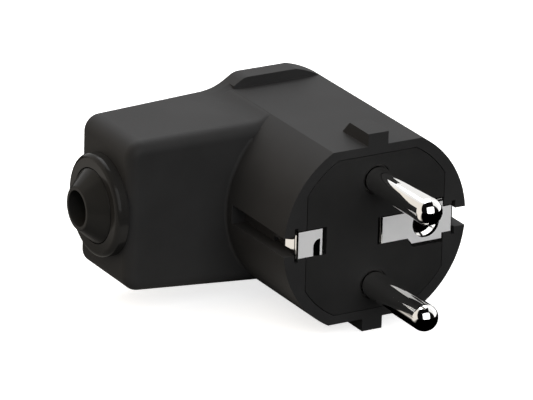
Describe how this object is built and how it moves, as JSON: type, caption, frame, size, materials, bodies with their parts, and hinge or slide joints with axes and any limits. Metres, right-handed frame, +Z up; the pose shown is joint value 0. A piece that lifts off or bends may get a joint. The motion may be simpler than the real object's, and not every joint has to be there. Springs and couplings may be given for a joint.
{
  "type": "angled mains plug",
  "caption": "Re-wirable mains plug: flat-sided round body, round pins, flush side earth plates with an earth socket, and a cable handle at a right angle ending in a cone gland.",
  "frame": {"origin": "centre of the flat engagement face of the pin carrier, midway between the pins", "axes": "-Y out of the engagement face along the pins, +Y back into the body; the pins sit one above the other along Z; -X along the cable handle towards the cable entry; +Z up"},
  "size_m": [0.0598, 0.0582, 0.0358],
  "materials": {
    "housing_plastic": "fine matte grain",
    "carrier_plastic": "fine matte grain",
    "clamp_plastic": "matte",
    "gland_plastic": "satin",
    "boot_rubber": "satin",
    "pin_nickel": "polished plating",
    "earth_plate": "satin plating",
    "contact_brass": "bare",
    "screw_steel": "zinc plated"
  },
  "bodies": {
    "root": {"housing": "housing_plastic", "pin_carrier": "carrier_plastic", "live_pin": "pin_nickel", "neutral_pin": "pin_nickel", "live_terminal_screw": "screw_steel", "neutral_terminal_screw": "screw_steel", "live_wire_guard": "contact_brass", "neutral_wire_guard": "contact_brass", "earth_strip": "earth_plate", "earth_socket": "contact_brass", "earth_terminal": "contact_brass", "earth_terminal_screw": "screw_steel", "carrier_nut": "screw_steel", "housing_screw": "screw_steel", "cord_clamp": "clamp_plastic", "upper_clamp_screw": "screw_steel", "lower_clamp_screw": "screw_steel", "gland_ring": "gland_plastic", "gland_nut": "gland_plastic", "cable_boot": "boot_rubber"}
  },
  "joints": []
}
